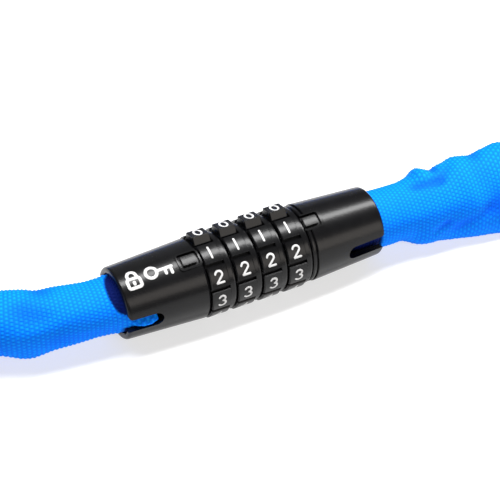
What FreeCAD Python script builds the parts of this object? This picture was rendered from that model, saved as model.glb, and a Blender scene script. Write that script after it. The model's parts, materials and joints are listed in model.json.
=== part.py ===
"""Four-dial combination chain lock with its chain inside a woven sleeve.

The barrel lies along X with the socket housing at -X and the plug housing at +X.
It rests on the surface z = 0 and the origin is under its middle.  Angles round the
barrel are measured from straight up towards the front (-Y).  Millimetres.
"""
import FreeCAD, Part
import math
import os

V = FreeCAD.Vector

# ---------------------------------------------------------------- barrel
BARREL_LENGTH = 95.7
HALF = BARREL_LENGTH / 2
DIAL_START = -18.8          # left face of the first dial's place
DIAL_PITCH = 9.53
DIAL_COUNT = 4
DIAL_LENGTH = 9.23
DIAL_GAP = DIAL_PITCH - DIAL_LENGTH
DIAL_END = DIAL_START + DIAL_COUNT * DIAL_PITCH
SOCKET_FACE = DIAL_START - 0.2
SOCKET_BIG_R = 13.75
SOCKET_END_R = 12.4
PLUG_FACE = DIAL_END + 0.25
PLUG_BIG_R = 13.6
PLUG_END_R = 12.2
LIP_R = 13.3                # thin lip at the plug housing's face
LIP_LENGTH = 1.2
LIP_GROOVE = 0.5            # width and depth of the groove behind the lip

# ---------------------------------------------------------------- mouths
MOUTH_R = 10.3
MOUTH_DEPTH = {-1: 12.5, 1: 15.0}   # socket side, plug side
NOTCH_WIDTH = 5.0
NOTCH_DEPTH = {-1: 12.0, 1: 14.5}
NOTCH_CORNER = 1.4
RIM_ROUND = 1.1
MARK_X = (23.0, 22.3)       # the index blocks' distances from the middle

# ---------------------------------------------------------------- dials
DIAL_R = 14.1
DIGITS = 10
STEP = 360.0 / DIGITS
INDEX_ANGLE = 18.0          # where the index marks and the chosen digits are
PAD_LENGTH = 6.5            # along the barrel
GROOVE_R = 12.9             # floor of the grooves between the pads
GROOVE_WIDTH = 1.0
GROOVE_TOP = 1.6            # at the pads' surface, past the bevels
GROOVE_BEVEL_R = 13.75
SHOULDER_R = 13.45          # plain ring beside the pads
GRIP_TOP_R = 15.5           # the raised pad of the digit 0
GRIP_TOP_WIDTH = 5.0
DIAL_BORE_R = 10.2
SPLINE_R = 0.5
AXIS_Z = math.sqrt(DIAL_R ** 2 - (GROOVE_TOP / 2) ** 2)

# ---------------------------------------------------------------- core and code rings
CORE_R = 7.5
CORE_BORE_R = 5.0
CORE_START = -31.7
RUNNING = 0.05              # radial play of what turns or slides
CODE_R = DIAL_BORE_R
CODE_LENGTH = 8.9
CODE_INSET = (DIAL_PITCH - CODE_LENGTH) / 2
POCKET_R = 9.2              # the part of a code ring where its tooth waits
POCKET_LENGTH = 3.4
GATE_WIDTH = 3.2
WASHER_R = 10.0
WASHER_THICKNESS = 0.4
CLICK_R = 0.55              # the ten click notches of a code ring
CLICK_DEPTH = 0.3
SPRING_THICKNESS = 0.25
END_RING_R = 10.8
END_RING_LENGTH = 1.5

# ---------------------------------------------------------------- bolt
BOLT_R = CORE_BORE_R - RUNNING
BOLT_TIP = DIAL_START + 1.2
TOOTH_R = 8.8
TOOTH_WIDTH = 2.8
TOOTH_LENGTH = 2.0
PIN_R = 1.5
CORE_PIN_X = -25.7
BOLT_PIN_X = 26.8

# ---------------------------------------------------------------- chain and its anchors
WIRE_R = 1.75
LINK_INSIDE = 18.0
LINK_GAP = 5.4              # inside width of a link
LINK_SLACK = 0.9
LINK_PITCH = LINK_INSIDE - LINK_SLACK
ANCHOR_X = 42.8             # the anchor pins' distance from the middle
FORK_GAP = 4.0
FORK_END = 45.8
STUD_R = 4.0

# ---------------------------------------------------------------- sleeve
SLEEVE_R = 12.5
SLEEVE_NECK_R = 9.0
SLEEVE_WALL = 0.8
SLEEVE_START = 37.3
NECK_END = 48.4
SHOULDER_END = 54.8
FERRULE_R = SLEEVE_NECK_R - SLEEVE_WALL
FERRULE_WALL = 0.8
FERRULE_LENGTH = 6.0

# The sleeve's route from the plug mouth round to the socket mouth, lying on the
# surface: x, y and the height of its middle.
LOW = SLEEVE_R + 0.05
ROUTE = [
    (SLEEVE_START, 0.0, AXIS_Z),
    (82.0, 0.0, AXIS_Z),
    (130.0, -4.0, LOW),
    (173.0, 18.0, LOW),
    (200.0, 58.0, LOW),
    (207.0, 112.0, LOW),
    (201.0, 164.0, LOW),
    (176.0, 210.0, LOW),
    (131.0, 241.0, LOW),
    (79.0, 254.0, LOW),
    (15.0, 257.0, LOW),
    (-43.0, 249.0, LOW),
    (-92.0, 228.0, LOW),
    (-130.0, 194.0, LOW),
    (-150.0, 146.0, LOW),
    (-153.0, 96.0, LOW),
    (-138.0, 50.0, LOW),
    (-106.0, 15.5, LOW + 0.4),
    (-71.0, 0.0, AXIS_Z),
    (-SLEEVE_START, 0.0, AXIS_Z),
]
PARTING_RUN = 5             # the run where the plug's stretch meets the socket's
ARC_SHARE = 0.45


def turned(angle):
    """The outward direction at an angle from straight up towards the front."""
    a = math.radians(angle)
    return V(0, -math.sin(a), math.cos(a))


def revolved(points):
    """A solid of revolution about the barrel's axis from (x, radius) points."""
    wire = Part.makePolygon([V(x, 0, r) for x, r in points + points[:1]])
    return Part.Face(wire).revolve(V(0, 0, 0), V(1, 0, 0), 360)


def tube(x0, x1, outer, inner):
    """A round tube along the barrel."""
    body = rod(x0, x1, outer)
    return body.cut(rod(x0 - 1, x1 + 1, inner)) if inner else body


def rod(x0, x1, radius):
    """A round bar along the barrel."""
    return Part.makeCylinder(radius, x1 - x0, V(x0, 0, 0), V(1, 0, 0))


def upright(x, radius, z0, z1):
    """A round bar along Z."""
    return Part.makeCylinder(radius, z1 - z0, V(x, 0, z0), V(0, 0, 1))


def block(x0, x1, width, z0, z1):
    """A box that is centred on y = 0."""
    return Part.makeBox(x1 - x0, width, z1 - z0, V(x0, -width / 2, z0))


def prism_x(outline, x0, x1):
    """An outline of (across, radius) points at the top of the barrel, run along X."""
    wire = Part.makePolygon([V(x0, t, r) for t, r in outline + outline[:1]])
    return Part.Face(wire).extrude(V(x1 - x0, 0, 0))


def about_axis(shape, angle):
    """A copy turned from straight up to an angle round the barrel."""
    copy = shape.copy()
    copy.rotate(V(0, 0, 0), V(1, 0, 0), angle)
    return copy


def rounded_post(x, length, width, corner, z0, z1):
    """A post at the top of the barrel with a rounded rectangular outline."""
    post = Part.makeBox(length, width, z1 - z0, V(x - length / 2, -width / 2, z0))
    corners = [e for e in post.Edges if abs(e.tangentAt(e.FirstParameter).z) > 0.9]
    return post.makeFillet(corner, corners)


# ---------------------------------------------------------------- housings
def notch(side):
    """The cutter for the two open notches at a mouth; side is -1 or +1."""
    half = NOTCH_WIDTH / 2
    c = NOTCH_CORNER
    s = math.sqrt(0.5)

    def at(depth, z):
        return V(side * (HALF - depth), -20, z)

    edges = []
    for up in (1, -1):
        edges.append(Part.makeLine(at(-1, up * (half + c)), at(0, up * (half + c))))
        bend = at(c - c * s, up * (half + c - c * s))
        edges.append(Part.Arc(at(0, up * (half + c)), bend, at(c, up * half)).toShape())
        edges.append(Part.makeLine(at(c, up * half), at(NOTCH_DEPTH[side] - half, up * half)))
    deep = NOTCH_DEPTH[side] - half
    edges.append(Part.Arc(at(deep, half), at(NOTCH_DEPTH[side], 0), at(deep, -half)).toShape())
    edges.append(Part.makeLine(at(-1, half + c), at(-1, -half - c)))
    wire = Part.Wire(Part.__sortEdges__(edges))
    return Part.Face(wire).extrude(V(0, 40, 0))


def index_mark(shell, x, barrel_r, rim_x, moat_x):
    """Adds the raised index block inside its moat and rim to a housing."""
    rim = rounded_post(rim_x, 8.0, 6.6, 1.3, 9, 16)
    moat = rounded_post(moat_x, 6.9, 5.5, 0.9, 9, 16)
    mark = rounded_post(x, 4.9, 3.4, 0.35, 9, 16)
    rim = rim.common(rod(x - 9, x + 9, barrel_r + 0.25))
    mark = mark.common(rod(x - 9, x + 9, barrel_r + 0.35))
    moat = moat.cut(rod(x - 9, x + 9, barrel_r - 0.65))
    pieces = [about_axis(p, INDEX_ANGLE) for p in (rim, moat, mark)]
    hollow = rod(x - 9, x + 9, barrel_r - 2)
    pieces[0] = pieces[0].cut(hollow)
    pieces[2] = pieces[2].cut(hollow)
    return shell.fuse(pieces[0]).cut(pieces[1]).fuse(pieces[2]).removeSplitter()


def housing_profile(side, end_r, front, steps):
    """Outline of a tapered housing: rounded rim, taper to the front, stepped bore."""
    rim = [(HALF, MOUTH_R + 0.5), (HALF, end_r - RIM_ROUND)]
    for k in range(1, 5):
        a = math.radians(22.5 * k)
        rim.append((HALF - RIM_ROUND * (1 - math.cos(a)), end_r - RIM_ROUND * (1 - math.sin(a))))
    bore = steps + [(HALF - MOUTH_DEPTH[side], MOUTH_R), (HALF - 0.5, MOUTH_R)]
    return [(side * x, r) for x, r in rim + front + bore]


def socket_housing():
    """The housing that carries the core tube and the dials."""
    deep = HALF - MOUTH_DEPTH[-1]
    face = -SOCKET_FACE
    steps = [(face, CORE_R), (-CORE_START, CORE_R), (-CORE_START, STUD_R), (deep, STUD_R)]
    front = [(face + 0.8, SOCKET_BIG_R), (face, SOCKET_BIG_R - 0.55)]
    shell = revolved(housing_profile(-1, SOCKET_END_R, front, steps))
    shell = shell.cut(notch(-1))
    shell = shell.cut(upright(CORE_PIN_X, PIN_R, -20, -CORE_BORE_R))
    return index_mark(shell, -MARK_X[0], 13.6, -MARK_X[0], -MARK_X[0])


def plug_housing():
    """The housing that carries the bolt."""
    deep = HALF - MOUTH_DEPTH[1]
    lip = PLUG_FACE + LIP_LENGTH
    barrel = lip + LIP_GROOVE
    front = [
        (barrel + 0.25, PLUG_BIG_R), (barrel, PLUG_BIG_R - 0.15),
        (barrel, LIP_R - LIP_GROOVE), (lip, LIP_R - LIP_GROOVE),
        (lip, LIP_R - 0.1), (lip - 0.15, LIP_R), (PLUG_FACE + 0.35, LIP_R), (PLUG_FACE, LIP_R - 0.35),
    ]
    seat = DIAL_END + END_RING_LENGTH + 0.4
    steps = [(PLUG_FACE, END_RING_R + 0.2), (seat, END_RING_R + 0.2), (seat, BOLT_R), (deep, BOLT_R)]
    shell = revolved(housing_profile(1, PLUG_END_R, front, steps))
    shell = shell.cut(notch(1))
    shell = shell.cut(upright(BOLT_PIN_X, PIN_R, -20, BOLT_R + 2.5))
    marked = index_mark(shell, MARK_X[1], 13.3, MARK_X[1] + 0.3, MARK_X[1] - 0.1)
    open_side = rounded_post(PLUG_FACE - 1, 8.0, 5.5, 0.9, 12.8, 16).cut(
        rounded_post(MARK_X[1], 4.9, 3.4, 0.35, 9, 16))
    face = Part.makeBox(9, 30, 40, V(PLUG_FACE - 9, -15, -20))
    return marked.cut(about_axis(open_side, INDEX_ANGLE)).cut(face)


# ---------------------------------------------------------------- core
def web_middle(i):
    """X of the middle of a code ring's web."""
    start = DIAL_START + i * DIAL_PITCH + CODE_INSET
    return start + (POCKET_LENGTH + CODE_LENGTH) / 2


def core_tube():
    """The slotted tube that the code rings turn on."""
    body = tube(CORE_START, DIAL_END + END_RING_LENGTH, CORE_R, CORE_BORE_R)
    body = body.cut(block(DIAL_START + 0.2, DIAL_END + 3, GATE_WIDTH, -12, -2))
    body = body.cut(upright(CORE_PIN_X, PIN_R, -20, -3))
    for i in range(DIAL_COUNT):
        x = web_middle(i)
        body = body.cut(block(x - 2.1, x + 2.1, 2.2, CORE_R - 0.9, CORE_R + 1))
    return body


def click_spring(i):
    """An arched leaf spring under the click notches, pressed to the ring's bore."""
    x = web_middle(i)
    low = CORE_R - 0.85
    high = CORE_R
    outer = Part.Arc(V(x - 2.0, -0.9, low), V(x, -0.9, high), V(x + 2.0, -0.9, low))
    inner = Part.Arc(
        V(x - 1.7, -0.9, low), V(x, -0.9, high - SPRING_THICKNESS), V(x + 1.7, -0.9, low)
    )
    feet = [
        Part.makeLine(V(x + s * 2.0, -0.9, low), V(x + s * 1.7, -0.9, low)) for s in (-1, 1)
    ]
    wire = Part.Wire(Part.__sortEdges__([outer.toShape(), inner.toShape()] + feet))
    return Part.Face(wire).extrude(V(0, 1.8, 0))


def washer(i):
    """A keyed spacer between two code rings."""
    x = DIAL_START + i * DIAL_PITCH
    ring = tube(x - WASHER_THICKNESS / 2, x + WASHER_THICKNESS / 2, WASHER_R, CORE_R)
    return ring.cut(block(x - 1, x + 1, GATE_WIDTH, -POCKET_R, -2))


def end_ring():
    """The flange on the core's free end that keeps the dials on."""
    x0 = DIAL_END + 0.1
    x1 = DIAL_END + END_RING_LENGTH
    ring = revolved([
        (x0, CORE_R), (x0, END_RING_R - 0.3), (x0 + 0.3, END_RING_R),
        (x1 - 0.4, END_RING_R), (x1, END_RING_R - 0.4), (x1, CORE_R),
    ])
    return ring.cut(block(x0 - 1, x1 + 1, GATE_WIDTH, -POCKET_R, -2))


def ejector_spring():
    """The coil spring behind the bolt, pressed down to its closed length."""
    wire_r = 0.45
    x0 = CORE_START + 0.7
    x1 = BOLT_TIP - 1.0
    helix = Part.makeHelix((x1 - x0) / 6.0, x1 - x0, 3.9)
    profile = Part.Wire(Part.makeCircle(wire_r, V(3.9, 0, 0), V(0, 1, 0)))
    coil = helix.makePipeShell([profile], True, True)
    coil.rotate(V(0, 0, 0), V(0, 1, 0), 90)
    coil.translate(V(x0, 0, 0))
    return coil


# ---------------------------------------------------------------- dials
def groove():
    """The cutter for the bevelled groove between two pads."""
    half = GROOVE_WIDTH / 2
    top = GROOVE_TOP / 2
    slope = (top - half) / (AXIS_Z - GROOVE_BEVEL_R)
    wide = top + slope
    outline = [
        (-half, GROOVE_R), (half, GROOVE_R), (half, GROOVE_BEVEL_R),
        (wide, AXIS_Z + 1), (-wide, AXIS_Z + 1), (-half, GROOVE_BEVEL_R),
    ]
    return prism_x(outline, -1, PAD_LENGTH + 0.1)


def grip():
    """The raised pad of the digit 0, with sloping sides and rounded edges."""
    foot = math.pi * GROOVE_R / DIGITS - GROOVE_WIDTH / 2
    top = GRIP_TOP_WIDTH / 2
    outline = [(-foot, GROOVE_R - 0.4), (foot, GROOVE_R - 0.4), (top, GRIP_TOP_R), (-top, GRIP_TOP_R)]
    body = prism_x(outline, 0.25, PAD_LENGTH - 0.1)
    crown = [e for e in body.Edges if e.CenterOfMass.z > GROOVE_R + 0.5]
    return body.makeFillet(0.3, crown)


def dial():
    """One dial with its left face at x = 0: nine pads, the raised 0 and a plain ring."""
    body = revolved([
        (0, DIAL_BORE_R), (0, DIAL_R - 0.5), (0.35, DIAL_R), (PAD_LENGTH, DIAL_R),
        (PAD_LENGTH + 0.45, SHOULDER_R), (DIAL_LENGTH - 0.9, SHOULDER_R),
        (DIAL_LENGTH - 0.45, SHOULDER_R - 0.1), (DIAL_LENGTH - 0.12, SHOULDER_R - 0.35),
        (DIAL_LENGTH, SHOULDER_R - 0.7), (DIAL_LENGTH, DIAL_BORE_R),
    ])
    zero_angle = INDEX_ANGLE - STEP
    foot = math.pi * GROOVE_R / DIGITS
    cleared = prism_x([(-foot, GROOVE_R), (foot, GROOVE_R), (foot, 16), (-foot, 16)], -1, PAD_LENGTH)
    body = body.cut(about_axis(cleared, zero_angle))
    cuts = [about_axis(groove(), INDEX_ANGLE + (k + 0.5) * STEP) for k in range(DIGITS)]
    spline = Part.makeCylinder(SPLINE_R, DIAL_LENGTH + 2, V(-1, 0, DIAL_BORE_R), V(1, 0, 0))
    cuts += [about_axis(spline, INDEX_ANGLE + k * STEP) for k in range(DIGITS)]
    for cutter in cuts:
        body = body.cut(cutter)
    return body.fuse(about_axis(grip(), zero_angle)).removeSplitter()


def code_ring():
    """One code ring with its left face at x = 0: tooth pocket, web, gate and clicks."""
    body = revolved([
        (0, POCKET_R), (0, CODE_R), (CODE_LENGTH, CODE_R),
        (CODE_LENGTH, CORE_R + RUNNING), (POCKET_LENGTH, CORE_R + RUNNING),
        (POCKET_LENGTH, POCKET_R),
    ])
    body = body.cut(block(-1, CODE_LENGTH + 1, GATE_WIDTH, -POCKET_R, -3))
    centre = CORE_R + RUNNING + CLICK_DEPTH - CLICK_R
    click = Part.makeCylinder(CLICK_R, CODE_LENGTH + 2, V(-1, 0, centre), V(1, 0, 0))
    key = Part.makeCylinder(SPLINE_R - 0.05, CODE_LENGTH, V(0, 0, CODE_R), V(1, 0, 0))
    for k in range(DIGITS):
        body = body.cut(about_axis(click, k * STEP))
        body = body.fuse(about_axis(key, INDEX_ANGLE + k * STEP))
    return body.removeSplitter()


# ---------------------------------------------------------------- bolt and anchors
def fork(body, side):
    """Slots the end of an anchor bar for the last link and drills it for the pin."""
    x0, x1 = sorted((side * (HALF - MOUTH_DEPTH[side] + 1.2), side * (FORK_END + 1)))
    body = body.cut(Part.makeBox(x1 - x0, 12, FORK_GAP, V(x0, -6, -FORK_GAP / 2)))
    return body.cut(upright(side * ANCHOR_X, WIRE_R, -9, 9))


def bolt():
    """The locking bolt: a round bar with four teeth, forked for the chain."""
    body = rod(BOLT_TIP + 0.8, FORK_END, BOLT_R)
    tip = Part.makeCone(BOLT_R - 0.8, BOLT_R, 0.8, V(BOLT_TIP, 0, 0), V(1, 0, 0))
    body = body.fuse(tip)
    for i in range(DIAL_COUNT):
        x = DIAL_START + i * DIAL_PITCH + CODE_INSET + POCKET_LENGTH / 2
        tooth = block(x - TOOTH_LENGTH / 2, x + TOOTH_LENGTH / 2, TOOTH_WIDTH, -TOOTH_R, -3)
        body = body.fuse(tooth)
    body = body.removeSplitter().cut(upright(BOLT_PIN_X, PIN_R, -20, BOLT_R + 2.5))
    return fork(body, 1)


def anchor_stud():
    """The forked stud in the socket housing's bulkhead."""
    deep = HALF - MOUTH_DEPTH[-1]
    body = rod(-FORK_END, -deep, BOLT_R).fuse(rod(-deep, CORE_START, STUD_R))
    return fork(body.removeSplitter(), -1)


def anchor_pin(side):
    """The cross pin that holds a last link."""
    return upright(side * ANCHOR_X, WIRE_R, -BOLT_R, BOLT_R)


def ferrule(side):
    """The ring that keeps the sleeve's end open inside a mouth."""
    x0, x1 = sorted((side * SLEEVE_START, side * (SLEEVE_START + FERRULE_LENGTH)))
    return tube(x0, x1, FERRULE_R, FERRULE_R - FERRULE_WALL)


# ---------------------------------------------------------------- route
def route_edges():
    """The route as straight runs joined by tangent arcs, as (run number, edge)."""
    points = [V(*p) for p in ROUTE]
    points = [p - V(0, 0, AXIS_Z) for p in points]
    runs = [(b - a).Length for a, b in zip(points, points[1:])]
    edges = []
    start = points[0]
    for k in range(1, len(points) - 1):
        ahead = (points[k + 1] - points[k]).normalize()
        back = (points[k - 1] - points[k]).normalize()
        half_turn = (math.pi - ahead.getAngle(back)) / 2
        cut = ARC_SHARE * min(runs[k - 1], runs[k])
        radius = cut / math.tan(half_turn)
        inward = (ahead + back).normalize()
        middle = points[k] + inward * (radius / math.cos(half_turn) - radius)
        enter = points[k] + back * cut
        leave = points[k] + ahead * cut
        edges.append((k - 1, Part.makeLine(start, enter)))
        edges.append((None, Part.Arc(enter, middle, leave).toShape()))
        print("turn %d: %.0f degrees, radius %.0f" % (k, math.degrees(2 * half_turn), radius))
        start = leave
    edges.append((len(points) - 2, Part.makeLine(start, points[-1])))
    return edges


def parted(edges):
    """Splits the route in the middle of the parting run: plug stretch, socket stretch."""
    at = [run for run, _ in edges].index(PARTING_RUN)
    line = edges[at][1]
    a, b = line.Vertexes[0].Point, line.Vertexes[1].Point
    middle = (a + b) * 0.5
    first = [e for _, e in edges[:at]] + [Part.makeLine(a, middle)]
    second = [Part.makeLine(middle, b)] + [e for _, e in edges[at + 1:]]
    return first, second


def swept(edges, radius):
    """A round bar along joined edges."""
    start = edges[0].valueAt(edges[0].FirstParameter)
    along = edges[0].tangentAt(edges[0].FirstParameter)
    profile = Part.Wire(Part.makeCircle(radius, start, along))
    return Part.Wire(edges).makePipeShell([profile], True, False)


def sleeve(edges, side):
    """A stretch of sleeve: a narrow neck in the mouth, a shoulder, then full width."""
    if side < 0:
        neck_edge, others = edges[-1], edges[:-1]
    else:
        neck_edge, others = edges[0], edges[1:]
    far = max((v.Point.x * side, v.Point.x) for v in neck_edge.Vertexes)[1]
    outline = [
        (SLEEVE_START, SLEEVE_NECK_R), (NECK_END, SLEEVE_NECK_R),
        (SHOULDER_END, SLEEVE_R), (abs(far), SLEEVE_R),
        (abs(far), SLEEVE_R - SLEEVE_WALL), (SHOULDER_END, SLEEVE_R - SLEEVE_WALL),
        (NECK_END, SLEEVE_NECK_R - SLEEVE_WALL), (SLEEVE_START, SLEEVE_NECK_R - SLEEVE_WALL),
    ]
    neck = revolved([(side * x, r) for x, r in outline])
    run = swept(others, SLEEVE_R).cut(swept(others, SLEEVE_R - SLEEVE_WALL))
    return neck.fuse(run)


# ---------------------------------------------------------------- chain
def link():
    """One welded link in the XY plane, its middle at the origin."""
    straight = (LINK_INSIDE - LINK_GAP) / 2
    across = LINK_GAP / 2 + WIRE_R
    edges = []
    for s in (1, -1):
        edges.append(Part.makeLine(V(-straight, s * across, 0), V(straight, s * across, 0)))
        ends = V(s * straight, across, 0), V(s * (straight + across), 0, 0), V(s * straight, -across, 0)
        edges.append(Part.Arc(*ends).toShape())
    wire = Part.Wire(Part.__sortEdges__(edges))
    first = wire.OrderedEdges[0]
    start = first.valueAt(first.FirstParameter)
    along = first.tangentAt(first.FirstParameter)
    profile = Part.Wire(Part.makeCircle(WIRE_R, start, along))
    return wire.makePipeShell([profile], True, False)


def along_route(edges, distance):
    """The point and the direction at a distance along joined edges."""
    for edge in edges:
        if distance <= edge.Length:
            at = edge.getParameterByLength(distance)
            return edge.valueAt(at), edge.tangentAt(at)
        distance -= edge.Length
    return None


def chain(edges, anchor_offset):
    """Links in turn flat and upright along a route that starts in a mouth."""
    one = link()
    total = sum(e.Length for e in edges)
    first = anchor_offset - WIRE_R - LINK_SLACK / 2 + LINK_INSIDE / 2
    count = int((total - first - LINK_INSIDE / 2 - WIRE_R * 2) / LINK_PITCH) + 1
    links = []
    for k in range(count):
        point, along = along_route(edges, first + k * LINK_PITCH)
        side = V(0, 0, 1).cross(along).normalize()
        up = along.cross(side)
        if k % 2:
            side, up = up, side * -1
        copy = one.copy()
        copy.Placement = FreeCAD.Placement(FreeCAD.Matrix(
            along.x, side.x, up.x, point.x,
            along.y, side.y, up.y, point.y,
            along.z, side.z, up.z, point.z,
            0, 0, 0, 1,
        ))
        links.append(copy)
    return Part.makeCompound(links)


def reversed_route(edges):
    """The same route walked from its other end."""
    back = []
    for edge in reversed(edges):
        a, b = edge.valueAt(edge.FirstParameter), edge.valueAt(edge.LastParameter)
        if isinstance(edge.Curve, Part.Line):
            back.append(Part.makeLine(b, a))
        else:
            middle = edge.valueAt((edge.FirstParameter + edge.LastParameter) / 2)
            back.append(Part.Arc(b, middle, a).toShape())
    return back


# ---------------------------------------------------------------- assembly
def at_dial(shape, i, inset):
    """A copy of a dial piece moved to its place along the barrel."""
    copy = shape.copy()
    copy.translate(V(DIAL_START + i * DIAL_PITCH + inset, 0, 0))
    return copy


def pieces():
    """Every node's shape by name, with the barrel's axis on the X axis."""
    plug_run, socket_run = parted(route_edges())
    socket_back = reversed_route(socket_run)
    offset = ANCHOR_X - SLEEVE_START
    one_dial = dial()
    one_code = code_ring()
    made = {
        "socket_housing": socket_housing(),
        "core_tube": core_tube(),
        "core_pin": upright(CORE_PIN_X, PIN_R, -13.1, -CORE_BORE_R - 0.1),
        "end_ring": end_ring(),
        "click_springs": Part.makeCompound([click_spring(i) for i in range(DIAL_COUNT)]),
        "code_ring_washers": Part.makeCompound([washer(i) for i in range(1, DIAL_COUNT)]),
        "ejector_spring": ejector_spring(),
        "anchor_stud": anchor_stud(),
        "socket_anchor_pin": anchor_pin(-1),
        "plug_housing": plug_housing(),
        "bolt": bolt(),
        "bolt_pin": upright(BOLT_PIN_X, PIN_R, -12.9, BOLT_R + 2.4),
        "plug_anchor_pin": anchor_pin(1),
        "socket_ferrule": ferrule(-1),
        "plug_ferrule": ferrule(1),
        "socket_chain": chain(socket_back, offset),
        "plug_chain": chain(plug_run, offset),
        "socket_sleeve": sleeve(socket_run, -1),
        "plug_sleeve": sleeve(plug_run, 1),
    }
    for i in range(DIAL_COUNT):
        made["dial_%d" % (i + 1)] = at_dial(one_dial, i, DIAL_GAP / 2)
        made["code_ring_%d" % (i + 1)] = at_dial(one_code, i, CODE_INSET)
    print("sleeve length %.1f" % sum(e.Length for e in plug_run + socket_run))
    return made


os.makedirs("parts", exist_ok=True)
for name, shape in pieces().items():
    shape.translate(V(0, 0, AXIS_Z))
    shape.exportStep("parts/%s.step" % name)
    print("%-20s solids %2d valid %s volume %.1f" % (
        name, len(shape.Solids), shape.isValid(), shape.Volume))
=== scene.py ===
import json
import logging
import math
from collections.abc import Callable, Sequence
from dataclasses import dataclass, field
from enum import Enum

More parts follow.
